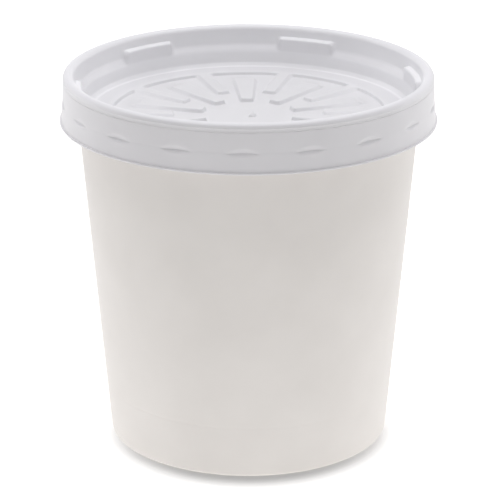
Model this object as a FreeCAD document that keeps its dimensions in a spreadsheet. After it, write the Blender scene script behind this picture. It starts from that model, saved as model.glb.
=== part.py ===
import FreeCAD, Part
import math
import os
import sys
from types import SimpleNamespace

import Sketcher

# A round 16 oz paper food container, shut by a vented thermoformed lid.
# The origin is the centre of the foot, +Z points up the axis, and -Y is the front.
#
# cup        the paper wall with its rolled rim and its turned-in foot. The container is shut, so the
#            wall and whatever it holds are one solid, up to a little below the lid's panel.
# base_disc  the paper disc that closes the foot. Its skirt hangs in the slot of the turned-in foot.
# lid        a sheet of even gauge over the rim. Two bodies, the form that shows and the same form
#            one gauge further in, are cut from each other, so every lug, rib and dent has its back.

SHEET = "Sizes"

# name, millimetres or degrees or a count, and what it is
DRIVING_SIZES = [
    ("cup_height", 98.1, "foot to the top of the rolled rim"),
    ("foot_radius", 36.95, "outside of the wall at the foot"),
    ("shoulder_radius", 44.53, "outside of the wall where the lid's plug starts to spread it"),
    ("shoulder_drop", 10.1, "top of the rolled rim down to that place"),
    ("paper", 0.4, "thickness of the coated paper"),
    ("bead_radius", 1.1, "half the thickness of the rolled rim"),
    ("bead_centre", 46.7, "radius of the middle of the rolled rim"),
    ("base_level", 13.5, "top of the base disc"),
    ("hem_height", 9.0, "how far the wall is turned up inside the foot"),
    ("skirt_lift", 1.0, "foot to the lower edge of the base disc's skirt"),
    ("paper_gap", 0.05, "play between two sheets of paper"),
    ("seam_angle", 11.0, "width of the overlap where the wall's two ends are sealed"),
    ("seam_phase", 90.0, "direction of that seam"),
    ("head_space", 0.6, "lid's lowest point to what is under it"),
    ("gauge", 0.35, "thickness of the lid's sheet"),
    ("lid_gap", 0.05, "play between the lid and the rolled rim"),
    ("groove_height", 1.25, "lid's top to the groove under its crest"),
    ("groove_depth", 0.22, "how far that groove is pressed in"),
    ("shelf_drop", 2.2, "lid's top to the shelf under the groove"),
    ("band_flare", 0.15, "how much wider the skirt's upper band is at its foot"),
    ("step_drop", 7.2, "lid's top to the step between the skirt's bands"),
    ("step_width", 0.12, "width of that step"),
    ("step_slope", 0.15, "height of that step"),
    ("skirt_flare", 0.3, "how much wider the lower band is at its foot"),
    ("lip_width", 0.38, "how far the lip stands out from the skirt"),
    ("lip_drop", 12.3, "lid's top to the upper face of its lip"),
    ("ledge_drop", 5.1, "lid's top to the outside of the stacking ledge"),
    ("ledge_set", 1.1, "inside of the rolled rim to the outside of the stacking ledge"),
    ("ledge_inner", 42.95, "inside of the stacking ledge"),
    ("ledge_fall", 1.2, "how far the ledge slopes down inwards"),
    ("well_radius", 42.6, "foot of the lid's well"),
    ("well_round", 0.8, "round at the foot of the well"),
    ("panel_drop", 10.55, "lid's top to the ring round the panel"),
    ("petal_radius", 35.8, "outer edge of the petals"),
    ("petal_draft", 0.5, "run of the slope at the ends of petals and spokes"),
    ("petal_depth", 0.7, "ring to the petals' outer edge"),
    ("hub_radius", 11.0, "flat middle of the panel"),
    ("hub_depth", 1.6, "ring to the hub"),
    ("spoke_inner", 20.0, "inner end of a spoke"),
    ("spoke_width", 3.6, "width of a spoke"),
    ("spoke_rise", 0.8, "spoke above the petals at its inner end"),
    ("rib_inner", 12.0, "inner end of a rib"),
    ("rib_outer", 30.5, "outer end of a rib"),
    ("rib_narrow", 3.3, "width of a rib at its inner end"),
    ("rib_wide", 6.2, "width of a rib at its outer end"),
    ("rib_depth", 0.6, "ring to the top of a rib"),
    ("lug_drop", 3.3, "lid's top to the top of a stacking lug"),
    ("lug_angle", 20.5, "width of a stacking lug"),
    ("lug_phase", 8.8, "direction of the first stacking lug"),
    ("dent_drop", 7.5, "lid's top to the crease of a snap dent"),
    ("dent_depth", 0.75, "how far a snap dent is pressed in"),
    ("dent_above", 1.4, "height of a dent over its crease"),
    ("dent_below", 0.6, "height of a dent under its crease"),
    ("dent_round", 14.0, "radius of the dent's outline seen from above"),
    ("dent_phase", 8.3, "direction of the first snap dent"),
    ("spoke_phase", 2.0, "direction of the first spoke"),
    ("rib_phase", 20.0, "direction of the first rib"),
    ("vent_side", 0.8, "axis to the middle of the vent slit's broad end"),
    ("vent_front", 1.6, "axis forwards to that end"),
    ("vent_width", 1.7, "width of that end"),
    ("vent_length", 4.8, "length of the slit, which tapers to a point"),
    ("vent_lean", 0.5, "how far the point lies to the side"),
]

LUGS = 6
DENTS = 18
PETALS = 10
HALF_ROUND_STEPS = 6


class Size:
    """A length that knows its number and the spreadsheet expression that gives it."""

    def __init__(self, value, text):
        self.value = value
        self.text = text

    def joined(self, other, sign, value):
        return Size(value, "(%s %s %s)" % (self.text, sign, as_size(other).text))

    def __add__(self, other):
        return self.joined(other, "+", self.value + as_size(other).value)

    def __sub__(self, other):
        return self.joined(other, "-", self.value - as_size(other).value)

    def __mul__(self, other):
        return self.joined(other, "*", self.value * as_size(other).value)

    def __truediv__(self, other):
        return self.joined(other, "/", self.value / as_size(other).value)


def as_size(thing):
    """The thing itself if it is a Size, else the plain number as one."""
    return thing if isinstance(thing, Size) else Size(float(thing), repr(float(thing)))


ZERO = as_size(0.0)
DEGREES = Size(180.0 / math.pi, "(180 / pi)")


def make_sheet(doc):
    """Put the driving sizes into the spreadsheet and give them back as attributes."""
    sheet = doc.addObject("Spreadsheet::Sheet", SHEET)
    sizes = {}
    for row, (name, value, meaning) in enumerate(DRIVING_SIZES, start=1):
        sheet.set("A%d" % row, name)
        sheet.set("B%d" % row, str(value))
        sheet.set("C%d" % row, meaning)
        sheet.setAlias("B%d" % row, name)
        sizes[name] = Size(float(value), "%s.%s" % (SHEET, name))
    doc.recompute()
    return SimpleNamespace(**sizes)


def half_round(centre, reach):
    """Corners on a half circle over `centre`, from its outer end over the top to its inner end."""
    corners = []
    for index in range(HALF_ROUND_STEPS + 1):
        angle = 180.0 * index / HALF_ROUND_STEPS
        across = Size(math.cos(math.radians(angle)), "cos(%g deg)" % angle)
        up = Size(math.sin(math.radians(angle)), "sin(%g deg)" % angle)
        corners.append((centre[0] + reach * across, centre[1] + reach * up))
    return corners


def along(start, end, where):
    """The r and z at the height `where` on the straight line from start to end."""
    share = (where - start[1]) / (end[1] - start[1])
    return (start[0] + (end[0] - start[0]) * share, where)


# ---- sketches ------------------------------------------------------------------------------------


def origin_plane(body, role):
    """One of the body's own origin planes or axes, by its role."""
    return [item for item in body.Origin.OriginFeatures if item.Role == role][0]


def new_sketch(body, name, role="XZ_Plane", turn=None, level=None):
    """A sketch on an origin plane, turned about the Z axis by `turn` and lifted to `level`."""
    sketch = body.newObject("Sketcher::SketchObject", name)
    sketch.AttachmentSupport = [(origin_plane(body, role), "")]
    sketch.MapMode = "FlatFace"
    if turn is not None:
        upright = FreeCAD.Vector(0, 1, 0) if role == "XZ_Plane" else FreeCAD.Vector(0, 0, 1)
        spin = FreeCAD.Rotation(upright, turn.value)
        sketch.AttachmentOffset = FreeCAD.Placement(FreeCAD.Vector(), spin)
        sketch.setExpression("AttachmentOffset.Rotation.Angle", turn.text)
    if level is not None:
        sketch.setExpression("AttachmentOffset.Base.z", level.text)
    return sketch


def pin(sketch, index, position, point):
    """Hold one end of a sketch element at a place: on an axis where a size is zero."""
    for kind, size, axis in (("DistanceX", point[0], -2), ("DistanceY", point[1], -1)):
        if size.text == ZERO.text:
            sketch.addConstraint(Sketcher.Constraint("PointOnObject", index, position, axis))
            continue
        made = sketch.addConstraint(
            Sketcher.Constraint(kind, -1, 1, index, position, size.value)
        )
        sketch.setExpression("Constraints[%d]" % made, size.text)


def draw_outline(sketch, corners):
    """Join the corners, which are (r, z) pairs of sizes, into a closed outline."""
    for index, corner in enumerate(corners):
        after = corners[(index + 1) % len(corners)]
        sketch.addGeometry(Part.LineSegment(flat(corner), flat(after)), False)
    for index, corner in enumerate(corners):
        after = (index + 1) % len(corners)
        sketch.addConstraint(Sketcher.Constraint("Coincident", index, 2, after, 1))
        pin(sketch, index, 1, corner)


def flat(point):
    """A sketch point from a pair of sizes."""
    return FreeCAD.Vector(point[0].value, point[1].value, 0)


# ---- features ------------------------------------------------------------------------------------


def turned(body, name, corners, turn=None, angle=None):
    """An outline in the r-z plane, turned about the Z axis by a full turn or by `angle`."""
    sketch = new_sketch(body, name + "_outline", turn=turn)
    draw_outline(sketch, corners)
    feature = body.newObject("PartDesign::Revolution", name)
    feature.Profile = sketch
    feature.ReferenceAxis = (sketch, ["V_Axis"])
    feature.Angle = 360.0
    if angle is not None:
        feature.Midplane = True
        feature.setExpression("Angle", angle.text)
    return feature


def repeated(body, name, feature, count):
    """The feature, repeated round the Z axis, as the body's tip."""
    pattern = body.newObject("PartDesign::PolarPattern", name)
    pattern.Originals = [feature]
    pattern.Axis = (origin_plane(body, "Z_Axis"), [""])
    pattern.Angle = 360.0
    pattern.Occurrences = count
    body.Tip = pattern
    return pattern


# ---- the paper cup -------------------------------------------------------------------------------


def wall_line(n, inset):
    """Two points on the wall, `inset` in from its outside: at the foot and at the shoulder."""
    return (n.foot_radius - inset, ZERO), (n.shoulder_radius - inset, shoulder_height(n))


def mouth_line(n, inset):
    """Two points on the spread mouth, `inset` in from its outside: shoulder and rolled rim."""
    foot = (n.shoulder_radius - inset, shoulder_height(n))
    return foot, (n.bead_centre - n.bead_radius + n.paper - inset, bead_middle(n))


def shoulder_height(n):
    """The height of the shoulder, under which the wall is straight."""
    return n.cup_height - n.shoulder_drop


def bead_middle(n):
    """The height of the middle of the rolled rim."""
    return n.cup_height - n.bead_radius


def lid_top(n):
    """The height of the lid's crest, which lies on the rolled rim."""
    return n.cup_height + n.lid_gap + n.gauge


def core_top(n):
    """The height up to which the shut container is solid, a little under the lid's hub."""
    return lid_top(n) - n.panel_drop - n.hub_depth - n.gauge - n.head_space


def make_cup(doc, n):
    """The wall, the rolled rim, the turned-in foot and the solid inside, in one turned outline."""
    body = doc.addObject("PartDesign::Body", "cup")
    outside = wall_line(n, ZERO)
    inside = wall_line(n, n.paper)
    slot = wall_line(n, n.paper * 2 + n.paper_gap * 2)
    hem = wall_line(n, n.paper * 3 + n.paper_gap * 2)
    middle = bead_middle(n)
    under_bead = middle - n.bead_radius
    corners = [
        (ZERO, n.base_level),
        along(*inside, n.base_level),
        along(*inside, n.paper),
        along(*slot, n.paper),
        along(*slot, n.hem_height),
        along(*hem, n.hem_height),
        (hem[0][0], ZERO),
        (n.foot_radius, ZERO),
        outside[1],
        along(*mouth_line(n, ZERO), under_bead),
        (n.bead_centre + n.bead_radius / 2, under_bead),
        *half_round((n.bead_centre, middle), n.bead_radius),
        inside[1],
        along(*inside, core_top(n)),
        (ZERO, core_top(n)),
    ]
    turned(body, "cup_paper", corners)
    add_seam(body, n)
    return body


def add_seam(body, n):
    """The overlap of the wall's two ends: one more thickness of paper, up to the shoulder."""
    inside = wall_line(n, n.paper / 2)
    outside = wall_line(n, n.paper * -1)
    corners = [inside[0], outside[0], outside[1], inside[1]]
    turned(body, "seam", corners, turn=n.seam_phase, angle=n.seam_angle)


def make_base_disc(doc, n):
    """The disc under the food and its skirt, one paper gap in from the wall and the hem."""
    body = doc.addObject("PartDesign::Body", "base_disc")
    outer = wall_line(n, n.paper + n.paper_gap)
    inner = wall_line(n, n.paper * 2 + n.paper_gap)
    underside = n.base_level - n.paper
    corners = [
        (ZERO, underside),
        along(*inner, underside),
        along(*inner, n.skirt_lift),
        along(*outer, n.skirt_lift),
        along(*outer, n.base_level),
        (ZERO, n.base_level),
    ]
    turned(body, "base_paper", corners)
    return body


# ---- the lid -------------------------------------------------------------------------------------


def crest_reach(n, inset):
    """The radius of the crest's round over the rolled rim, `inset` under the lid's face."""
    return n.bead_radius + n.lid_gap + n.gauge - inset


def band_foot(n, inset):
    """The radius of the skirt's upper band at its foot. Its top is as wide as the crest."""
    return n.bead_centre + crest_reach(n, inset) + n.band_flare


def lid_outline(n, inset):
    """Half of the lid's form on its axis: skirt, crest, well and panel, `inset` under its face."""
    top = lid_top(n)
    face = top - inset
    lip_top = top - n.lip_drop
    lip_bottom = lip_top - n.gauge
    step = top - n.step_drop
    reach = crest_reach(n, inset)
    crest = n.bead_centre + reach
    ledge = n.bead_centre - n.bead_radius - n.ledge_set + inset
    band = band_foot(n, inset)
    skirt_foot = band + n.step_width + n.skirt_flare
    lip_edge = skirt_foot + n.lip_width
    ring = face - n.panel_drop
    well = n.well_radius + inset
    if inset is ZERO:
        lip = [
            (n.well_radius, core_top(n)),
            (n.well_radius, lip_bottom),
            (lip_edge, lip_bottom),
            (lip_edge, lip_top),
            (skirt_foot, lip_top),
        ]
        groove = [
            (crest, top - n.shelf_drop),
            (crest - n.groove_depth, top - n.groove_height),
        ]
    else:
        lip = [(skirt_foot, core_top(n)), (skirt_foot, lip_bottom)]
        groove = []
    return [
        (ZERO, core_top(n)),
        *lip,
        (band + n.step_width, step - n.step_slope),
        (band, step),
        *groove,
        *half_round((n.bead_centre, bead_middle(n)), reach),
        (ledge, face - n.ledge_drop),
        (n.ledge_inner + inset, face - n.ledge_drop - n.ledge_fall),
        (well, ring + n.well_round),
        (well - n.well_round, ring),
        (n.petal_radius + inset, ring),
        (n.petal_radius - n.petal_draft + inset, ring - n.petal_depth),
        (n.hub_radius, ring - n.hub_depth),
        (ZERO, ring - n.hub_depth),
    ]


def add_spokes(body, n, inset):
    """Bars at the ring's level that run inwards between the petals, down the panel's slope."""
    ring = lid_top(n) - inset - n.panel_drop
    petal_edge = (n.petal_radius - n.petal_draft, ring - n.petal_depth)
    slope = (n.hub_depth - n.petal_depth) / (petal_edge[0] - n.hub_radius)
    floor = petal_edge[1] - slope * (petal_edge[0] - n.spoke_inner)
    inner = n.spoke_inner + inset
    outer = n.petal_radius + n.petal_draft
    sketch = new_sketch(body, "spoke_side", turn=n.spoke_phase)
    corners = [
        (inner - n.petal_draft, core_top(n)),
        (outer, core_top(n)),
        (outer, ring),
        (n.petal_radius, ring),
        (inner, floor + n.spoke_rise),
        (inner - n.petal_draft, floor),
    ]
    draw_outline(sketch, corners)
    spoke = body.newObject("PartDesign::Pad", "spoke")
    spoke.Profile = sketch
    spoke.Midplane = True
    spoke.setExpression("Length", (n.spoke_width - inset * 2).text)
    repeated(body, "spokes", spoke, PETALS)


def add_ribs(body, n, inset):
    """A wedge in the middle of each petal. Its top is level, so it fades where the petal rises."""
    top = lid_top(n) - inset - n.panel_drop - n.rib_depth
    sketch = new_sketch(body, "rib_plan", role="XY_Plane", turn=n.rib_phase, level=top)
    near = n.rib_inner + inset
    far = n.rib_outer - inset
    narrow = n.rib_narrow / 2 - inset
    wide = n.rib_wide / 2 - inset
    corners = [(near, narrow * -1), (far, wide * -1), (far, wide), (near, narrow)]
    draw_outline(sketch, corners)
    rib = body.newObject("PartDesign::Pad", "rib")
    rib.Profile = sketch
    rib.Reversed = True
    rib.setExpression("Length", (top - core_top(n)).text)
    repeated(body, "ribs", rib, PETALS)


def add_lugs(body, n, inset):
    """Stacking lugs: the well's lower wall, carried up over the ledge in short blocks."""
    face = lid_top(n) - inset
    inner = n.ledge_inner + inset
    foot = face - n.ledge_drop - n.ledge_fall
    corners = [
        (inner, foot),
        (n.bead_centre, foot),
        (n.bead_centre, face - n.lug_drop),
        (inner, face - n.lug_drop),
    ]
    angle = n.lug_angle - inset * 2 / n.ledge_inner * DEGREES
    lug = turned(body, "lug", corners, turn=n.lug_phase, angle=angle)
    repeated(body, "lugs", lug, LUGS)


def add_dents(body, n, inset):
    """Snap dents: a sharp-edged disc, standing beside the skirt, presses a lens into it."""
    top = lid_top(n)
    crease = top - n.dent_drop
    edge = band_foot(n, ZERO) - n.dent_depth
    axis = edge + n.dent_round
    apex = edge - inset
    back = edge + n.dent_depth * 2
    corners = [
        (apex, crease),
        (back, crease - n.dent_below * (back - apex) / n.dent_depth),
        (back, crease + n.dent_above * (back - apex) / n.dent_depth),
    ]
    sketch = new_sketch(body, "dent_side", turn=n.dent_phase)
    draw_outline(sketch, corners)
    spindle = Part.LineSegment(flat((axis, crease)), flat((axis, top)))
    spindle_index = sketch.addGeometry(spindle, True)
    pin(sketch, spindle_index, 1, (axis, crease))
    pin(sketch, spindle_index, 2, (axis, top))
    dent = body.newObject("PartDesign::Groove", "dent")
    dent.Profile = sketch
    dent.ReferenceAxis = (sketch, ["Axis0"])
    dent.Angle = 360.0
    repeated(body, "dents", dent, DENTS)


def make_lid_form(doc, n, name, inset):
    """A solid up to the lid's face, or up to one gauge under it."""
    body = doc.addObject("PartDesign::Body", name)
    turned(body, name + "_turned", lid_outline(n, inset))
    add_spokes(body, n, inset)
    add_ribs(body, n, inset)
    add_lugs(body, n, inset)
    add_dents(body, n, inset)
    return body


def make_vent(doc, n):
    """The wedge that cuts the steam slit through the hub: broad in front, pointed behind."""
    body = doc.addObject("PartDesign::Body", "vent")
    sketch = new_sketch(body, "vent_plan", role="XY_Plane", level=core_top(n))
    front = n.vent_front * -1
    corners = [
        (n.vent_side - n.vent_width / 2, front),
        (n.vent_side + n.vent_width / 2, front),
        (n.vent_side + n.vent_lean, front + n.vent_length),
    ]
    draw_outline(sketch, corners)
    wedge = body.newObject("PartDesign::Pad", "vent_wedge")
    wedge.Profile = sketch
    wedge.setExpression("Length", (n.head_space + n.gauge * 2).text)
    return body


def cut(doc, name, base, tool):
    """The base less the tool."""
    result = doc.addObject("Part::Cut", name)
    result.Base = base
    result.Tool = tool
    return result


def make_lid(doc, n):
    """The form that shows less the form under it, with the vent cut through the hub."""
    face = make_lid_form(doc, n, "lid_face", ZERO)
    back = make_lid_form(doc, n, "lid_back", n.gauge)
    sheet = cut(doc, "lid_sheet", face, back)
    return cut(doc, "lid", sheet, make_vent(doc, n))


# ---- build, check and write ----------------------------------------------------------------------


def check(doc, parts):
    """Stop if anything in the document failed, or a part is not one sound solid."""
    for item in doc.Objects:
        if "Invalid" in item.State or "Error" in item.State:
            sys.exit("%s failed: %s" % (item.Name, item.State))
    for part in parts:
        shape = part.Shape
        if shape.isNull() or not shape.isValid() or len(shape.Solids) != 1:
            sys.exit("%s is not one sound solid" % part.Label)
        print("%s: %.1f mm3, %d faces" % (part.Label, shape.Volume, len(shape.Faces)))


def main():
    doc = FreeCAD.newDocument("paper_food_container")
    sizes = make_sheet(doc)
    parts = [make_cup(doc, sizes), make_base_disc(doc, sizes), make_lid(doc, sizes)]
    for part, label in zip(parts, ("paper_cup", "base_disc", "vented_lid")):
        part.Label = label
    doc.recompute()
    check(doc, parts)
    os.makedirs("parts", exist_ok=True)
    for part in parts:
        part.Shape.exportStep("parts/%s.step" % part.Label)


main()
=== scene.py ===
# %% [markdown]
# # A paper food container, shut by its vented lid
# This lesson finishes one everyday thing: a white paper soup container with a thin plastic lid
# pressed over its rolled rim. The engineering model gives the true sizes. Here each of its three
# parts gets the surface that the real one has: the coated paper wall, the paper base and the
# thermoformed lid with its lugs, dents and petals.
#
# The first lines load the engineering model as a fixed frame. Everything after it is placed from
# that frame, so nothing has to be fitted by eye.

# %% Load the frame
import math

import bmesh
import bpy
import numpy as np
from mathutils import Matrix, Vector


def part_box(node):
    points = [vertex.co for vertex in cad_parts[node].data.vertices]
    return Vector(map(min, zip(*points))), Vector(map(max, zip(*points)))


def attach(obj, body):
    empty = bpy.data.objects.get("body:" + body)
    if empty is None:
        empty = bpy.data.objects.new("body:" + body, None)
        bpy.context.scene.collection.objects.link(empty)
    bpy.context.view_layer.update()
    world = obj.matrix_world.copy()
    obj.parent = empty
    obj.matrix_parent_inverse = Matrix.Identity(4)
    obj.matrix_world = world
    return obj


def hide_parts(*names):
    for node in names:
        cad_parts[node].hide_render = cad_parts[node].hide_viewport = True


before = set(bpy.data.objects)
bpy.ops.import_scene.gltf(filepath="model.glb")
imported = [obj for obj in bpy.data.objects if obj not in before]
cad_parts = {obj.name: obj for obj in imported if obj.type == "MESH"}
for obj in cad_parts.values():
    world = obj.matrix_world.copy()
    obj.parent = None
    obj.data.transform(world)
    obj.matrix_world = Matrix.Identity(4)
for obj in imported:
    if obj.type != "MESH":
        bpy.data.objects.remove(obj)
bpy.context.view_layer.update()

print("nodes in the frame:", sorted(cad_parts))

# %% [markdown]
# ## Sizes
# Blender counts in metres and packaging drawings in millimetres, so the shapes are worked out in
# millimetres and scaled once, when a mesh is made. The overall sizes are read from the frame.
# The small ones, such as the lid's steps, are measured down from the lid's top or in from its
# edge, as a drawing of the lid would give them. That way no part can drift away from the model.

# %% Sizes from the frame
MM = 0.001
lid_low, lid_high = (np.array(corner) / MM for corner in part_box("vented_lid"))
cup_high = np.array(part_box("paper_cup")[1]) / MM
base_low, base_high = (np.array(corner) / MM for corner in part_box("base_disc"))
LID_TOP = lid_high[2]
LIP_RADIUS = lid_high[0]
BEAD_OUTER = cup_high[0]
CUP_TOP = cup_high[2]
BASE_TOP = base_high[2]
BASE_FOOT = base_low[2]
GAUGE = 0.35
PAPER = 0.4
PLAY = 0.05
print("lid top %.2f mm, lip radius %.2f mm, cup top %.2f mm" % (LID_TOP, LIP_RADIUS, CUP_TOP))

# %% [markdown]
# ## Tools for outlines
# A container of this kind is a turned shape: an outline in a plane through the axis, carried
# round it. Real outlines have no sharp corners, since paper and warm plastic both bend in a small
# round. So an outline starts as a few corners, and each corner is then replaced by a short curve.
# The straight runs get a few rows too, which gives dents and lugs something to press into.

# %% Soft outlines


def soft_outline(corners, rounds, run_rows=3, bend_rows=5):
    """Rows (r, z) along straight runs whose corners are rounded.

    Each corner P becomes the curve (1-s)^2 A + 2 s (1-s) P + s^2 B, where A and B lie one
    `round` before and after it. Each straight run between two such curves is divided evenly.
    """
    corners = np.asarray(corners, float)
    step = np.diff(corners, axis=0)
    way = step / np.linalg.norm(step, axis=1, keepdims=True)
    rounds = np.asarray(rounds, float)[:, None]
    before = corners[1:-1] - way[:-1] * rounds
    after = corners[1:-1] + way[1:] * rounds
    s = np.linspace(0, 1, bend_rows)[None, :, None]
    early, middle, late = (1 - s) ** 2, 2 * s * (1 - s), s**2
    bends = early * before[:, None] + middle * corners[1:-1, None] + late * after[:, None]
    starts = np.vstack([corners[:1], after])[:, None]
    stops = np.vstack([before, corners[-1:]])[:, None]
    t = np.linspace(0, 1, run_rows + 2)[None, 1:-1, None]
    runs = starts * (1 - t) + stops * t
    inner_rows = np.concatenate([runs[:-1], bends], axis=1).reshape(-1, 2)
    return np.vstack([corners[:1], inner_rows, runs[-1], corners[-1:]])


def arc(centre, reach, start, stop, rows):
    """Rows on a circle: centre + reach * (cos a, sin a), with a from start to stop in degrees."""
    a = np.radians(np.linspace(start, stop, rows))
    return np.stack([centre[0] + reach * np.cos(a), centre[1] + reach * np.sin(a)], axis=1)


def smooth_step(x):
    """0 below 0, 1 above 1, and 3x^2 - 2x^3 between them."""
    x = np.clip(x, 0, 1)
    return x * x * (3 - 2 * x)


def turn_to(angles, phase, period):
    """Angle in degrees from the nearest repeat of `phase`, which comes round every `period`."""
    return (angles - phase + period / 2) % period - period / 2


# %% [markdown]
# ## From a grid to a mesh
# Every piece below is one grid of points: rows along the outline, columns round the axis. The
# faces are the grid's squares, so they can be numbered with whole arrays. Where a row shrinks to
# a point on the axis, or where the outline closes on itself, the doubled points are merged. That
# leaves a closed skin with an inside, which light needs.

# %% Grid to mesh


def turned_points(radius, height, angles):
    """Points (r cos a, r sin a, z) for arrays of rows by columns, angles in degrees."""
    a = np.radians(angles)[None, :]
    radius, height = np.broadcast_arrays(radius, height)
    return np.stack([radius * np.cos(a), radius * np.sin(a), height + 0 * a], axis=-1)


def grid_piece(name, points, closed_rows=False):
    """A closed mesh object from a grid of points in millimetres that wraps round its columns.

    Face (i, j) joins rows i and i + 1 and columns j and j + 1. The sum of each face's corner
    times its normal tells inside from outside, and the faces are turned if it is negative.
    """
    rows, cols = points.shape[:2]
    i = np.arange(rows if closed_rows else rows - 1)[:, None]
    j = np.arange(cols)[None, :]
    below, above = i * cols, ((i + 1) % rows) * cols
    after = (j + 1) % cols
    faces = np.stack([below + j, below + after, above + after, above + j], axis=-1).reshape(-1, 4)
    flat = points.reshape(-1, 3)
    a, b, c, d = (flat[faces[:, k]] for k in range(4))
    if (a * np.cross(c - a, d - b)).sum() < 0:
        faces = faces[:, ::-1]
    mesh = bpy.data.meshes.new(name)
    mesh.from_pydata((flat * MM).tolist(), [], faces.tolist())
    piece = bpy.data.objects.new(name, mesh)
    bpy.context.scene.collection.objects.link(piece)
    close_seams(mesh)
    mesh.shade_smooth()
    print("%s: %d points, %d faces" % (name, len(mesh.vertices), len(mesh.polygons)))
    return piece


def close_seams(mesh, reach=1e-7):
    """Merge points nearer than `reach` metres, and drop the faces that then have no area."""
    work = bmesh.new()
    work.from_mesh(mesh)
    bmesh.ops.remove_doubles(work, verts=work.verts, dist=reach)
    bmesh.ops.dissolve_degenerate(work, edges=work.edges, dist=reach)
    work.to_mesh(mesh)
    work.free()


# %% [markdown]
# ## The lid's skirt and crest
# The skirt is the band that grips the rim. From the bottom up it has a thin cut lip, a lower band
# that flares a little, a faint step, an upper band, a narrow shelf, a groove, and the crest that
# wraps the rolled rim. Across the step sit eighteen snap dents. In the mould each dent is a
# sharp-edged disc that presses into the skirt, so each is lens-shaped, with a crease across it.
# A dent could be sculpted, or cut out with a Boolean. As a change of the skirt's radius it stays
# part of the grid, and all eighteen come from one formula.

# %% Skirt outline
CREST_ROUND = 1.5
CREST_CENTRE = (BEAD_OUTER - 1.1, LID_TOP - CREST_ROUND)
BAND_RADIUS = CREST_CENTRE[0] + CREST_ROUND
LIP_TOP = lid_low[2] + GAUGE
SKIRT_FLARE = 0.55
STEP_FLARES = (0.24, 0.17)
STEP_HEIGHTS = (LID_TOP - 7.8, LID_TOP - 7.2)
SHELF_HEIGHT = LID_TOP - 2.3
CREASE_HEIGHT = LID_TOP - 7.5
ROW_GAP = 0.3

dent_rows = np.linspace(CREASE_HEIGHT - 0.95, CREASE_HEIGHT + 1.65, 21)
skirt_heights = np.concatenate([
    np.linspace(LIP_TOP + 0.25, dent_rows[0] - ROW_GAP, 6),
    dent_rows,
    np.linspace(dent_rows[-1] + ROW_GAP, SHELF_HEIGHT - ROW_GAP, 6),
])
flare_heights = (LIP_TOP, *STEP_HEIGHTS, SHELF_HEIGHT)
flares = np.array([SKIRT_FLARE, *STEP_FLARES, 0.0])
skirt_radii = np.interp(skirt_heights, flare_heights, BAND_RADIUS + flares)
lip_rows = soft_outline(
    [
        (LIP_RADIUS, LIP_TOP),
        (BAND_RADIUS + SKIRT_FLARE, LIP_TOP),
        (skirt_radii[0], skirt_heights[0]),
    ],
    [0.12], run_rows=1, bend_rows=4,
)[:-1]
groove_rows = soft_outline(
    [
        (skirt_radii[-1], skirt_heights[-1]),
        (BAND_RADIUS, SHELF_HEIGHT),
        (BAND_RADIUS - 0.13, SHELF_HEIGHT + 0.25),
        (BAND_RADIUS - 0.12, SHELF_HEIGHT + 0.7),
        (BAND_RADIUS - 0.02, SHELF_HEIGHT + 1.1),
    ],
    [0.12, 0.2, 0.2], run_rows=1, bend_rows=3,
)[1:]
crest_rows = arc(CREST_CENTRE, CREST_ROUND, 12, 180, 16)
skirt_rows = np.vstack([
    lip_rows, np.stack([skirt_radii, skirt_heights], axis=1), groove_rows, crest_rows,
])
print("skirt and crest: %d rows" % len(skirt_rows))

# %% Snap dents
DENTS = 18
DENT_PHASE = 8.3
DENT_DEPTH = 0.5
DENT_ABOVE = 1.6
DENT_BELOW = 0.45
DENT_HALF_WIDTH = 4.1
DISC_OUT = 0.2
DISC_BLEND = 0.06
SWELL = 0.1
SWELL_BELOW = 0.85
SWELL_HEIGHT = 0.35
SWELL_WIDTH = 2.6


def dented(radii, heights, angles):
    """The skirt's radius with the snap dents pressed in.

    The disc's edge lies on the crease, one depth inside the skirt. Its face comes back to the
    skirt at a constant slope, over a long way above the crease and a short one below it. To each
    side it comes back with the square of the distance. The skirt's radius is the smaller of its
    own and the disc's, softly joined. Below the crease the sheet swells out a little, in a bell
    curve of the height and of the way along the skirt.
    """
    over = heights - CREASE_HEIGHT
    share = np.where(over > 0, over / DENT_ABOVE, -over / DENT_BELOW)
    aside = np.radians(turn_to(angles, DENT_PHASE, 360 / DENTS))[None, :] * BAND_RADIUS
    inward = share[:, None] - 1 + (aside / DENT_HALF_WIDTH) ** 2
    disc = BAND_RADIUS + DISC_OUT + DENT_DEPTH * inward
    up = (over[:, None] + SWELL_BELOW) / SWELL_HEIGHT
    bell = np.exp(-(up**2) - (aside / SWELL_WIDTH) ** 2)
    return soft_least(radii[:, None] + 0 * aside, disc, DISC_BLEND) + SWELL * bell


def soft_least(a, b, blend):
    """The smaller of a and b, rounded over `blend` where they cross."""
    near = np.clip(blend - np.abs(a - b), 0, None) / blend
    return np.minimum(a, b) - near * near * blend / 4


print("%d dents, each %.1f mm deep, one every %.0f degrees" % (DENTS, DENT_DEPTH, 360 / DENTS))

# %% [markdown]
# ## The lid's well and its stacking lugs
# Inside the crest a wall drops to a narrow sloping ledge, then on to the panel. Six blocks stand
# on the ledge. The foot of a container stacked on top rests on them and can't wedge into the
# wall. A block is only another outline of the same wall: where there is no lug the wall runs down
# to the ledge, and where there is one it turns in at once and drops straight. Both outlines have
# the same number of rows, so the grid can blend from one to the other across a lug's two sides.

# %% Well outlines
PANEL_RING = LID_TOP - 10.55
WELL_TOP = (CREST_CENTRE[0] - CREST_ROUND, CREST_CENTRE[1])
LUG_SHOULDER = (44.95, LID_TOP - 2.85)
LEDGE_OUTER = (44.5, LID_TOP - 4.95)
LEDGE_INNER = (43.2, LID_TOP - 6.5)
LUG_EDGE = (43.24, LID_TOP - 3.05)
WALL_CREASE = (42.8, LID_TOP - 8.2)
WELL_FOOT = (42.5, PANEL_RING + 0.9)
RING_EDGE = (41.75, PANEL_RING)
RING_START = 41.2


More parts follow.
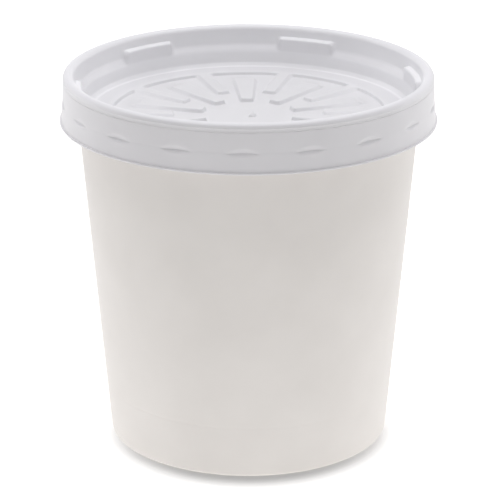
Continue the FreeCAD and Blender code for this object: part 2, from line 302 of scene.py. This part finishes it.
def well_outline(second, rounds):
    """Rows of the wall from the crest to the ring: straight runs with rounded corners.

    The corner after the shoulder is `second`, which is where a gap and a lug differ.
    """
    corners = [
        WELL_TOP, LUG_SHOULDER, second, LEDGE_INNER,
        WALL_CREASE, WELL_FOOT, RING_EDGE, (RING_START, PANEL_RING),
    ]
    return soft_outline(corners, [*rounds, 0.15, 0.18, 0.3], run_rows=1, bend_rows=5)[1:]


gap_rows = well_outline(LEDGE_OUTER, [0.2, 0.5, 0.5])
lug_rows = well_outline(LUG_EDGE, [0.2, 0.6, 0.3])
print("well: %d rows in both outlines" % len(gap_rows))

# %% Stacking lugs
LUGS = 6
LUG_PHASE = 8.8
LUG_ANGLE = 20.3
SIDE_ANGLE = 0.9


def lug_share(angles):
    """1 on a lug, 0 between lugs: a smooth step of the angle to the middle of the lug's side."""
    aside = np.abs(turn_to(angles, LUG_PHASE, 360 / LUGS))
    return smooth_step((LUG_ANGLE / 2 - aside) / SIDE_ANGLE + 0.5)


print("%d lugs, each over %.1f degrees" % (LUGS, LUG_ANGLE))

# %% [markdown]
# ## The lid's panel
# The panel stiffens the thin sheet with ten petals. Each petal is a shallow recess that dishes
# down to the hub, with a tapered rib in its middle, and a spoke stays up between each two petals.
# All of it is one height over the panel's plane. For each raised form there is a distance to its
# outline, negative inside, and a smooth step of that distance is the draft of its side. Distances
# also round the corners for free: the outline of a box moved out by a small radius is a box with
# round corners.

# %% Petals, spokes and ribs
PETALS = 10
SPOKE_PHASE = 2.0
RIB_PHASE = 20.0
PETAL_EDGE = 35.6
PETAL_DEPTH = 0.78
HUB_RADIUS = 11.0
HUB_DEPTH = 1.6
SPOKE_INNER = 19.6
SPOKE_OUTER = PETAL_EDGE + 4
SPOKE_WIDTH = 3.6
SPOKE_CORNER = 0.7
SPOKE_FALL = 0.55
SPOKE_ROOT = 1.0
RIB_INNER = 12.0
RIB_OUTER = 30.5
RIB_HALF_WIDTHS = (1.65, 3.1)
RIB_CORNER = 0.5
RIB_TOPS = (-0.56, -0.22)
DRAFT = 0.44


def local(radius, angles, phase):
    """Along and across a bar that points outwards: r cos a and r sin a from the bar's angle."""
    a = np.radians(turn_to(angles, phase, 360 / PETALS))
    return radius * np.cos(a), radius * np.sin(a)


def bar_distance(along, across, inner, outer, half_width, corner):
    """Distance to a bar's outline, negative inside: that to a smaller box, less `corner`."""
    x = np.abs(along - (inner + outer) / 2) - (outer - inner) / 2 + corner
    y = np.abs(across) - half_width + corner
    outside = np.hypot(np.clip(x, 0, None), np.clip(y, 0, None))
    return outside + np.minimum(np.maximum(x, y), 0) - corner


def panel_height(radius, angles):
    """Height over the ring for a polar grid: floor, then spokes and ring, then ribs.

    The floor falls evenly from the petals' edge to the hub. Spokes and ring are raised over it
    where the lesser of their distances is negative, and a rib where its own is. Each side is a
    smooth step of the distance over the draft. The tops fall towards the hub at their own rates.
    """
    fall = (PETAL_EDGE - radius) / (PETAL_EDGE - HUB_RADIUS)
    floor = -PETAL_DEPTH - (HUB_DEPTH - PETAL_DEPTH) * np.clip(fall, 0, 1)
    along, across = local(radius, angles, SPOKE_PHASE)
    spoke = bar_distance(along, across, SPOKE_INNER, SPOKE_OUTER, SPOKE_WIDTH / 2, SPOKE_CORNER)
    ring = PETAL_EDGE - radius + 0 * across
    raised = soft_least(ring, spoke, SPOKE_ROOT)
    slope = np.clip((PETAL_EDGE - along) / (PETAL_EDGE - SPOKE_INNER), 0, 1)
    top = -SPOKE_FALL * slope
    height = floor + (top - floor) * smooth_step(0.5 - raised / DRAFT)
    along, across = local(radius, angles, RIB_PHASE)
    share = np.clip((along - RIB_INNER) / (RIB_OUTER - RIB_INNER), 0, 1)
    half_width = RIB_HALF_WIDTHS[0] + (RIB_HALF_WIDTHS[1] - RIB_HALF_WIDTHS[0]) * share
    rib = bar_distance(along, across, RIB_INNER, RIB_OUTER, half_width, RIB_CORNER)
    rib_top = RIB_TOPS[0] + (RIB_TOPS[1] - RIB_TOPS[0]) * share
    lift = np.clip(rib_top - height, 0, None) * smooth_step(0.5 - rib / DRAFT)
    return height + lift


print("%d petals, %.2f mm deep, and %.1f mm at the hub" % (PETALS, PETAL_DEPTH, HUB_DEPTH))

# %% [markdown]
# ## The whole lid as one sheet
# Skirt, crest, well and panel are rows of one grid. The back of the sheet is the same grid moved
# in along its own normals by the sheet's gauge, with fewer rows where nothing shows. Joined at
# the lip, the two make a closed skin of even thickness, as a thermoformed lid has. A Solidify
# modifier would do nearly the same, but it can't leave out rows at the back. Rows stand close
# where the sheet bends, and the number of columns is one that dents, lugs and petals all divide.

# %% Lid grid
LID_COLUMNS = 450
BACK_STRIDE = 5
DENT_STRIDE = 2
lid_angles = np.arange(LID_COLUMNS) * 360 / LID_COLUMNS
panel_radii = np.concatenate([
    np.linspace(RING_START, PETAL_EDGE + 0.6, 4)[1:],
    np.linspace(PETAL_EDGE + 0.4, PETAL_EDGE - 0.8, 9),
    np.linspace(34.4, 31.6, 3),
    np.linspace(31.2, 29.4, 4),
    np.linspace(28, 20.8, 5),
    np.linspace(20.2, 18.8, 9),
    np.linspace(18, 13.2, 4),
    np.linspace(12.6, 11.2, 9),
    np.linspace(10.4, 0, 9),
])


def lid_face():
    """The lid's upper face: skirt rows with dents, well rows with lugs, then the panel."""
    skirt = turned_points(
        dented(skirt_rows[:, 0], skirt_rows[:, 1], lid_angles), skirt_rows[:, 1:], lid_angles
    )
    lug = lug_share(lid_angles)[None, :, None]
    well = gap_rows[:, None] * (1 - lug) + lug_rows[:, None] * lug
    well = turned_points(well[..., 0], well[..., 1], lid_angles)
    radius = panel_radii[:, None]
    height = PANEL_RING + panel_height(radius, lid_angles)
    panel = turned_points(radius, height, lid_angles)
    return np.concatenate([skirt, well, panel])


def outward(points):
    """Unit normals of a turned grid: the cross product of its directions, or up at the pole."""
    along = np.gradient(points, axis=0)
    round_axis = np.roll(points, -1, axis=1) - np.roll(points, 1, axis=1)
    normal = np.cross(round_axis, along)
    length = np.linalg.norm(normal, axis=-1, keepdims=True)
    upright = np.array([0.0, 0.0, 1.0])
    return np.where(length > 1e-9, normal / np.maximum(length, 1e-9), upright)


face = lid_face()
back = face - GAUGE * outward(face)
rows = np.arange(len(face))
lip_part = rows < len(lip_rows)
dent_part = ~lip_part & (rows < len(lip_rows) + len(skirt_heights))
stride = np.where(dent_part, DENT_STRIDE, BACK_STRIDE)
kept = lip_part | (rows % stride == 0) | (rows == rows[-1])
lid = grid_piece("lid_sheet", np.concatenate([back[kept][::-1], face]))

# %% [markdown]
# ## The vent
# Steam leaves through a small cut in the hub, broad in front and pointed behind. Its tongue is
# pressed down towards the front, where a narrow gap opens. Two wedges do this: a Boolean takes
# the tongue's dip out of the sheet with the first, and the gap with the second, which goes right
# through. The wedges are then thrown away.

# %% Vent
VENT_FRONT = -1.6
VENT_LENGTH = 4.8
VENT_SIDE = 0.8
VENT_WIDTH = 1.7
VENT_LEAN = 0.5
VENT_DIP = 0.3
VENT_GAP = 0.5
GAP_TAPER = 0.1
SKIM = 0.01
PUNCH_REACH = 1.0
HUB_LEVEL = PANEL_RING - HUB_DEPTH


def wedge_mesh(name, plan, low, high):
    """A closed prism: a plan of (x, y) corners, going round to the left, at two heights.

    Each height is one number for all corners or one for each corner.
    """
    plan = np.asarray(plan, float)
    count = len(plan)
    levels = np.concatenate([np.broadcast_to(low, count), np.broadcast_to(high, count)])
    points = np.hstack([np.vstack([plan, plan]), levels[:, None]]) * MM
    k = np.arange(count)
    sides = np.stack([k, (k + 1) % count, (k + 1) % count + count, k + count], axis=1)
    ends = [k[::-1].tolist(), (k + count).tolist()]
    mesh = bpy.data.meshes.new(name)
    mesh.from_pydata(points.tolist(), [], sides.tolist() + ends)
    return mesh


def punch(piece, mesh):
    """Take the punch's shape out of the piece, and keep the result as the piece's own mesh."""
    tool = bpy.data.objects.new("punch", mesh)
    bpy.context.scene.collection.objects.link(tool)
    cut = piece.modifiers.new("punch", "BOOLEAN")
    cut.operation, cut.solver, cut.object = "DIFFERENCE", "EXACT", tool
    graph = bpy.context.evaluated_depsgraph_get()
    whole, result = piece.data, bpy.data.meshes.new_from_object(piece.evaluated_get(graph))
    piece.modifiers.clear()
    piece.data = result
    bpy.data.objects.remove(tool)
    bpy.data.meshes.remove(mesh)
    bpy.data.meshes.remove(whole)
    result.name = piece.name
    result.shade_smooth()
    print("%s after the punch: %d faces" % (piece.name, len(result.polygons)))


vent_left, vent_right = VENT_SIDE - VENT_WIDTH / 2, VENT_SIDE + VENT_WIDTH / 2
tongue = [
    (vent_left, VENT_FRONT),
    (vent_right, VENT_FRONT),
    (VENT_SIDE + VENT_LEAN, VENT_FRONT + VENT_LENGTH),
]
gap = [
    (vent_left, VENT_FRONT),
    (vent_right, VENT_FRONT),
    (vent_right - GAP_TAPER, VENT_FRONT + VENT_GAP),
    (vent_left + GAP_TAPER, VENT_FRONT + VENT_GAP),
]
dip_floor = HUB_LEVEL + np.array([-VENT_DIP, -VENT_DIP, SKIM])
punch(lid, wedge_mesh("dip", tongue, dip_floor, HUB_LEVEL + PUNCH_REACH))
punch(lid, wedge_mesh("gap", gap, HUB_LEVEL - PUNCH_REACH, HUB_LEVEL + PUNCH_REACH))

# %% [markdown]
# ## The paper wall
# The wall is a strip of coated paper. Its cross-section is a line with a thickness: it starts at
# the top of the hem inside the foot, runs down, folds under the base disc's skirt, climbs the
# outside, spreads a little at the mouth, and rolls outwards into the rim. So the outline is made
# as a middle line and then thickened to both sides.

# %% Wall line
FOOT_RADIUS = 36.95
SHOULDER = (44.53, 88.0)
HEM_HEIGHT = 9.0
SLOPE = (SHOULDER[0] - FOOT_RADIUS) / SHOULDER[1]
CREASE = 13.9
BEAD_ROUND = 1.1
CUP_BEAD = (BEAD_OUTER - BEAD_ROUND, CUP_TOP - BEAD_ROUND)


def slanted(offset, heights):
    """Rows on the wall's slant, `offset` in from its outside at each of the heights."""
    return np.stack([FOOT_RADIUS + SLOPE * heights - offset, heights], axis=1)


def to_the_right(line):
    """Unit vectors (dz, -dr) to the right of a line of rows (r, z), as one goes along it."""
    along = np.gradient(line, axis=0)
    along /= np.linalg.norm(along, axis=1, keepdims=True)
    return np.stack([along[:, 1], -along[:, 0]], axis=1)


fold_round = (PAPER + 2 * PLAY + PAPER) / 2
fold_centre = (FOOT_RADIUS - PAPER / 2 - fold_round, fold_round + PAPER / 2)
hem = slanted(PAPER / 2 + 2 * fold_round, np.linspace(HEM_HEIGHT, fold_centre[1], 5))
fold = arc(fold_centre, fold_round, 180, 360, 11)
wall_heights = np.concatenate([
    np.linspace(fold_centre[1], 12.4, 6)[1:],
    np.linspace(12.8, 15.2, 17),
    np.linspace(20, SHOULDER[1], 12),
])
wall = slanted(PAPER / 2, wall_heights)
roll = arc(CUP_BEAD, BEAD_ROUND - PAPER / 2, 180, -150, 30)
mouth = np.linspace(wall[-1], roll[0], 6)[1:-1]
middle_line = np.vstack([hem, fold[1:], wall, mouth, roll])
print("middle line of the wall: %d rows" % len(middle_line))

# %% [markdown]
# The strip's two ends overlap at the back and are heat-sealed. The edge of the outer end is a
# crisp step, and on the other side the paper comes down over the inner end in a soft ramp. Round
# the foot a faint crease shows where the base disc's edge is pressed against the wall. Both are
# real changes of the radius, so they catch the light from every side.

# %% Wall grid
SEAM_ANGLE = 85.0
SEAM_WIDTH = 11.0
SEAM_RAMP = 5.0
SEAM_EDGE = 0.16
SEAM_RISE = PAPER * 0.9
CREASE_DEPTH = 0.035
CREASE_HALF_HEIGHT = 0.28
WALL_COLUMNS = 288
wall_angles = np.sort(np.concatenate([
    np.arange(WALL_COLUMNS) * 360 / WALL_COLUMNS + 0.1,
    SEAM_ANGLE + np.array([-0.35, -0.15, -0.08, 0.0, 0.08, 0.2]),
]))


def seam_lift(angles):
    """0 off the seam, 1 on it: a sharp rise at its edge and a slow fall at its far side."""
    past = angles - SEAM_ANGLE
    return smooth_step(past / SEAM_EDGE + 0.5) * (1 - smooth_step((past - SEAM_WIDTH) / SEAM_RAMP))


def crease_depth(heights, angles):
    """A shallow groove at the base disc's edge: a bell curve of the height over the crease.

    Slow waves of the angle make it deeper and fainter, and higher and lower, by turns.
    """
    a = np.radians(angles)
    strength = 0.62 + 0.3 * np.sin(a + 3.6) + 0.08 * np.sin(5 * a)
    drift = 0.12 * np.sin(2 * a + 0.5)
    over = (heights - CREASE - drift) / CREASE_HALF_HEIGHT
    return CREASE_DEPTH * strength * np.exp(-(over**2))


def wall_points():
    """Both sides of the middle line, with the seam and the crease on the outer one."""
    aside = to_the_right(middle_line) * PAPER / 2
    outer, inner = middle_line + aside, middle_line - aside
    heights = outer[:, 1:]
    on_wall = smooth_step(heights / 0.5) * (1 - smooth_step((heights - SHOULDER[1]) / 5))
    on_wall[: len(hem) + len(fold) // 2] = 0
    angles = wall_angles[None, :]
    change = SEAM_RISE * seam_lift(angles) - crease_depth(heights, angles)
    radius = outer[:, :1] + on_wall * change
    skin = turned_points(radius, heights, wall_angles)
    lining = turned_points(inner[::-1, :1], inner[::-1, 1:], wall_angles)
    return np.concatenate([skin, lining])


cup = grid_piece("cup_wall", wall_points(), closed_rows=True)

# %% [markdown]
# ## The base disc
# The base is a second piece of paper: a flat disc with its edge bent down into a skirt, which the
# wall's fold holds. It shows only from below, as the floor of the recess in the foot. It is made
# as the wall is: a middle line from the axis to the skirt's foot, thickened to both sides.

# %% Base disc
base_radius = FOOT_RADIUS + SLOPE * BASE_TOP - PAPER - PLAY - PAPER / 2
base_line = soft_outline(
    [
        (0.0, BASE_TOP - PAPER / 2),
        (base_radius, BASE_TOP - PAPER / 2),
        (FOOT_RADIUS + SLOPE * BASE_FOOT - PAPER * 1.5 - PLAY, BASE_FOOT),
    ],
    [1.0], run_rows=8, bend_rows=7,
)
base_aside = -to_the_right(base_line) * PAPER / 2
base_aside[0] = (0, PAPER / 2)
base_rows = np.vstack([base_line + base_aside, (base_line - base_aside)[::-1]])
BASE_COLUMNS = 180
base_angles = np.arange(BASE_COLUMNS) * 360 / BASE_COLUMNS
base = grid_piece("base_board", turned_points(base_rows[:, :1], base_rows[:, 1:], base_angles))

# %% [markdown]
# ## Materials
# Both finishes are white, so what tells them apart is how they scatter light. Coated paper is
# warm, matt and very slightly mottled, with a waxy film on its fibres. The lid is cooler and
# smoother, with a soft gloss. Its sheet is thin, so light comes through the well's wall from the
# bright room behind it, while the panel lies over the dark inside. Subsurface scattering alone
# doesn't carry that far in so thin a skin, so light and shade are also painted into the sheet's
# colour by the distance from the axis. The well's wall, the line at its foot and the lugs'
# shoulders are painted lighter. The panel is painted darker, most of all on its ring, and the
# crest and skirt a little darker.

# %% Node helpers
RAMP_REACH = 50.0


def node_tools(tree):
    """Two functions for an emptied node tree: one adds a node with its values, one links."""
    tree.nodes.clear()

    def add(kind, **values):
        node = tree.nodes.new(kind)
        for key, value in values.items():
            if key in node.inputs:
                node.inputs[key].default_value = value
            else:
                setattr(node, key, value)
        return node

    return add, tree.links.new


def new_material(name):
    """A material with an empty node tree, and the functions that add and link its nodes."""
    material = bpy.data.materials.new(name)
    material.use_nodes = True
    return material, *node_tools(material.node_tree)


def span(low, high, start, stop):
    """Map Range's four values by name: from low..high to start..stop."""
    return {"From Min": low, "From Max": high, "To Min": start, "To Max": stop}


def noise(add, link, place, scale, detail=3.0, roughness=0.5):
    """A noise texture on the piece's own coordinates, in repeats per metre."""
    node = add("ShaderNodeTexNoise", Scale=scale, Detail=detail, Roughness=roughness)
    link(place.outputs["Object"], node.inputs["Vector"])
    return node.outputs["Fac"]


def tint(add, link, source, low, high, start=0.3, stop=0.7):
    """A colour between `low` and `high`, by where the source lies between start and stop."""
    ramp = add("ShaderNodeValToRGB")
    ramp.color_ramp.elements[0].position, ramp.color_ramp.elements[0].color = start, (*low, 1)
    ramp.color_ramp.elements[1].position, ramp.color_ramp.elements[1].color = stop, (*high, 1)
    link(source, ramp.inputs["Fac"])
    return ramp.outputs["Color"]


def relief(add, link, source, height, below=None):
    """A bump of `height` metres, on top of another bump if there is one."""
    bump = add("ShaderNodeBump", Strength=1.0, Distance=height)
    link(source, bump.inputs["Height"])
    if below is not None:
        link(below, bump.inputs["Normal"])
    return bump.outputs["Normal"]


def by_radius(add, link, place, stops):
    """A colour for the distance from the axis, blended between stops of (millimetres, colour)."""
    flat_place = add("ShaderNodeVectorMath", operation="MULTIPLY")
    flat_place.inputs[1].default_value = (1, 1, 0)
    distance = add("ShaderNodeVectorMath", operation="LENGTH")
    share = add("ShaderNodeMapRange", **span(0, RAMP_REACH * MM, 0, 1))
    link(place.outputs["Object"], flat_place.inputs[0])
    link(flat_place.outputs["Vector"], distance.inputs[0])
    link(distance.outputs["Value"], share.inputs["Value"])
    ramp = add("ShaderNodeValToRGB")
    marks = ramp.color_ramp.elements
    while len(marks) < len(stops):
        marks.new(1.0)
    for mark, (radius, colour) in zip(marks, stops):
        mark.position, mark.color = radius / RAMP_REACH, (*colour, 1)
    link(share.outputs["Result"], ramp.inputs["Fac"])
    return ramp.outputs["Color"]


def finish_with(add, link, shader):
    """Send the shader to the surface."""
    link(shader.outputs[0], add("ShaderNodeOutputMaterial").inputs["Surface"])


# %% Coated paper
WALL_TINTS = ((0.815, 0.782, 0.752), (0.853, 0.820, 0.790))
BASE_TINTS = ((0.78, 0.755, 0.725), (0.82, 0.795, 0.77))
WAX = {"Coat Weight": 0.12, "Coat Roughness": 0.38}
SWELL_RELIEF = 0.00006
FIBRE_RELIEF = 0.000004


def coated_paper(name, low, high):
    """Warm white board: broad cloudy mottle, fine fibres in the relief, a thin waxy coat."""
    material, add, link = new_material(name)
    place = add("ShaderNodeTexCoord")
    cloud = noise(add, link, place, 55.0, detail=4.0)
    fibre = noise(add, link, place, 2600.0, detail=4.0, roughness=0.65)
    swell = noise(add, link, place, 90.0, detail=2.0)
    shader = add("ShaderNodeBsdfPrincipled", Roughness=0.62, IOR=1.46, **WAX)
    link(tint(add, link, cloud, low, high), shader.inputs["Base Color"])
    waves = relief(add, link, swell, SWELL_RELIEF)
    link(relief(add, link, fibre, FIBRE_RELIEF, waves), shader.inputs["Normal"])
    finish_with(add, link, shader)
    return material


# %% Lid sheet
# Painted light and shade: the sheet's colour by distance from the axis in mm, lighter in the well,
# darker on the panel's ring and skirt.
LID_PAINTED_LIGHT_AND_SHADE = (
    (36.0, (0.779, 0.772, 0.793)),
    (38.0, (0.740, 0.734, 0.755)),
    (40.6, (0.740, 0.734, 0.755)),
    (41.5, (0.900, 0.893, 0.915)),
    (43.2, (0.955, 0.950, 0.975)),
    (43.4, (0.872, 0.865, 0.890)),
    (44.3, (0.872, 0.865, 0.890)),
    (44.6, (0.930, 0.925, 0.950)),
    (45.3, (0.940, 0.935, 0.960)),
    (46.2, (0.858, 0.849, 0.880)),
    (47.4, (0.858, 0.849, 0.880)),
    (48.2, (0.835, 0.824, 0.848)),
)
LIGHT_INSIDE = {
    "Subsurface Weight": 0.15,
    "Subsurface Radius": (1.0, 1.0, 1.0),
    "Subsurface Scale": 0.0006,
}
GRAIN_RELIEF = 0.000006


def lid_plastic():
    """Cool white sheet: faint clouds where it stretched, satin gloss, painted light and shade by
    radius.
    """
    material, add, link = new_material("lid_plastic_satin")
    place = add("ShaderNodeTexCoord")
    cloud = noise(add, link, place, 70.0, detail=3.0)
    grain = noise(add, link, place, 900.0, detail=2.0)
    shader = add("ShaderNodeBsdfPrincipled", IOR=1.5, **LIGHT_INSIDE)
    blend = add("ShaderNodeMixRGB", blend_type="MULTIPLY", Fac=1.0)
    link(by_radius(add, link, place, LID_PAINTED_LIGHT_AND_SHADE), blend.inputs["Color1"])
    link(tint(add, link, cloud, (0.97,) * 3, (1.0,) * 3), blend.inputs["Color2"])
    link(blend.outputs["Color"], shader.inputs["Base Color"])
    satin = add("ShaderNodeMapRange", **span(0, 1, 0.34, 0.44))
    link(cloud, satin.inputs["Value"])
    link(satin.outputs["Result"], shader.inputs["Roughness"])
    link(relief(add, link, grain, GRAIN_RELIEF), shader.inputs["Normal"])
    finish_with(add, link, shader)
    return material


# %% Dress the pieces
lid.data.materials.append(lid_plastic())
cup.data.materials.append(coated_paper("paper_wall_coated", *WALL_TINTS))
base.data.materials.append(coated_paper("paper_base_coated", *BASE_TINTS))

for piece, node, slot in (
    (lid, "vented_lid", "lid_plastic"),
    (cup, "paper_cup", "coated_paper"),
    (base, "base_disc", "base_paper"),
):
    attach(piece, "root")
    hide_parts(node)
    print("%s stands for %s and wears %s" % (piece.name, node, piece.data.materials[0].name))

# %% [markdown]
# ## Floor, light and camera
# The container stands on a light table in a grey tent, under a broad soft box, with two weaker
# boxes behind it at the sides. That is how a white thing is lit so that its own shades still show
# on white. The floor stays white to the camera and in reflections. The soft shadow round the foot
# is partly cast and partly painted: the glow that the camera sees fades out near the foot.

# %% Floor
FLOOR_REACH = 0.5
FLOOR_SIDES = 96
FLOOR_GREY = (0.64, 0.64, 0.64, 1)
GLOW_COLOUR = (1.0, 0.99, 0.975, 1)
# Painted shadow: the glow that the camera sees fades out within these distances from a point 5.5
# mm in front of the axis.
PAINTED_SHADOW_SHIFT = (-0.0003, 0.0055, 0)
PAINTED_SHADOW_SPAN = span(0.0320, 0.0405, 0.03, 0.72)
TABLE_SPAN = span(0.045, 0.150, 0.86, 0.71)


def floor_material():
    """A white sheet that is lit from below, with a painted shadow round the foot.

    The camera and reflections see one glow, which fades out near the foot by the distance from a
    point 5.5 mm in front of the axis: a painted shadow, over the shadow cast on the floor's grey.
    The light that the floor sends to the container is another glow, a little stronger near the
    foot.
    """
    material, add, link = new_material("studio_floor")
    diffuse = add("ShaderNodeBsdfDiffuse", Color=FLOOR_GREY)
    glow = add("ShaderNodeEmission", Color=GLOW_COLOUR)
    level = add("ShaderNodeMapRange")
    link(seen_rays(add, link), level.inputs["Value"])
    link(ring_ramp(add, link, (0, 0, 0), TABLE_SPAN), level.inputs["To Min"])
    link(ring_ramp(add, link, PAINTED_SHADOW_SHIFT, PAINTED_SHADOW_SPAN), level.inputs["To Max"])
    link(level.outputs["Result"], glow.inputs["Strength"])
    both = add("ShaderNodeAddShader")
    link(diffuse.outputs[0], both.inputs[0])
    link(glow.outputs[0], both.inputs[1])
    finish_with(add, link, both)
    return material


def ring_ramp(add, link, shift, reach):
    """A smooth change from one level to another between two distances from a point in metres."""
    place = add("ShaderNodeTexCoord")
    moved = add("ShaderNodeVectorMath", operation="ADD")
    distance = add("ShaderNodeVectorMath", operation="LENGTH")
    ramp = add("ShaderNodeMapRange", interpolation_type="SMOOTHSTEP", **reach)
    moved.inputs[1].default_value = shift
    link(place.outputs["Object"], moved.inputs[0])
    link(moved.outputs["Vector"], distance.inputs[0])
    link(distance.outputs["Value"], ramp.inputs["Value"])
    return ramp.outputs["Result"]


def seen_rays(add, link):
    """1 for camera, glossy and transmission rays, else 0."""
    path = add("ShaderNodeLightPath")
    first = add("ShaderNodeMath", operation="MAXIMUM")
    second = add("ShaderNodeMath", operation="MAXIMUM")
    link(path.outputs["Is Camera Ray"], first.inputs[0])
    link(path.outputs["Is Glossy Ray"], first.inputs[1])
    link(first.outputs[0], second.inputs[0])
    link(path.outputs["Is Transmission Ray"], second.inputs[1])
    return second.outputs[0]


floor_mesh = bpy.data.meshes.new("floor")
around = np.radians(np.arange(FLOOR_SIDES) * 360 / FLOOR_SIDES)
floor_rim = np.stack([np.cos(around), np.sin(around), 0 * around], axis=1) * FLOOR_REACH
floor_mesh.from_pydata(floor_rim.tolist(), [], [list(range(FLOOR_SIDES))])
floor = bpy.data.objects.new("floor", floor_mesh)
bpy.context.scene.collection.objects.link(floor)
floor_mesh.materials.append(floor_material())
print("floor: a disc %.1f m across" % (2 * FLOOR_REACH))

# %% World and lamps
WORLD_LEVEL = 0.24
LAMP_COLOUR = (0.985, 0.982, 1.0)


def light_world():
    """An even grey tent for light, and plain white where a ray shows the backdrop."""
    world = bpy.data.worlds.new("tent")
    world.use_nodes = True
    add, link = node_tools(world.node_tree)
    tent = add("ShaderNodeBackground", Color=(1, 1, 1, 1), Strength=WORLD_LEVEL)
    white = add("ShaderNodeBackground", Color=(1, 1, 1, 1))
    mix, out = add("ShaderNodeMixShader"), add("ShaderNodeOutputWorld")
    link(seen_rays(add, link), mix.inputs["Fac"])
    link(tent.outputs[0], mix.inputs[1])
    link(white.outputs[0], mix.inputs[2])
    link(mix.outputs[0], out.inputs["Surface"])
    bpy.context.scene.world = world


def soft_lamp(name, place, size, watts):
    """A square area lamp at `place` in metres, which faces the middle of the container.

    It is tipped by the angle between straight down and its aim, then turned to the aim's heading.
    """
    data = bpy.data.lights.new(name, "AREA")
    data.shape, data.size, data.energy, data.color = "SQUARE", size, watts, LAMP_COLOUR
    lamp = bpy.data.objects.new(name, data)
    aim = np.array([0, 0, LID_TOP * MM / 2]) - np.array(place)
    tip = math.atan2(math.hypot(aim[0], aim[1]), -aim[2])
    turn = math.atan2(aim[1], aim[0]) - math.pi / 2
    lamp.location, lamp.rotation_euler = place, (tip, 0, turn)
    lamp.visible_camera = False
    bpy.context.scene.collection.objects.link(lamp)
    print("%s: %.1f W over %.1f m" % (name, watts, size))


light_world()
soft_lamp("top_box", (0.0, 0.09, 0.95), 1.0, 7.0)
soft_lamp("left_box", (-0.8, 0.4, 0.25), 0.6, 1.6)
soft_lamp("right_box", (0.8, 0.4, 0.25), 0.6, 1.6)

# %% Camera
CAMERA_PLACE = (0.0, -0.6610, 0.2858)
CAMERA_PITCH = 19.71
CAMERA_YAW = 0.033
CAMERA_LENS = 190.3
camera_data = bpy.data.cameras.new("camera")
camera_data.lens = CAMERA_LENS
camera_data.sensor_width = 36.0
camera = bpy.data.objects.new("camera", camera_data)
camera.location = CAMERA_PLACE
camera.rotation_euler = (math.radians(90 - CAMERA_PITCH), 0, -math.radians(CAMERA_YAW))
bpy.context.scene.collection.objects.link(camera)
bpy.context.scene.camera = camera
bpy.context.scene.view_settings.view_transform = "Standard"
print("camera: %.2f degrees down, lens %.1f mm" % (CAMERA_PITCH, CAMERA_LENS))
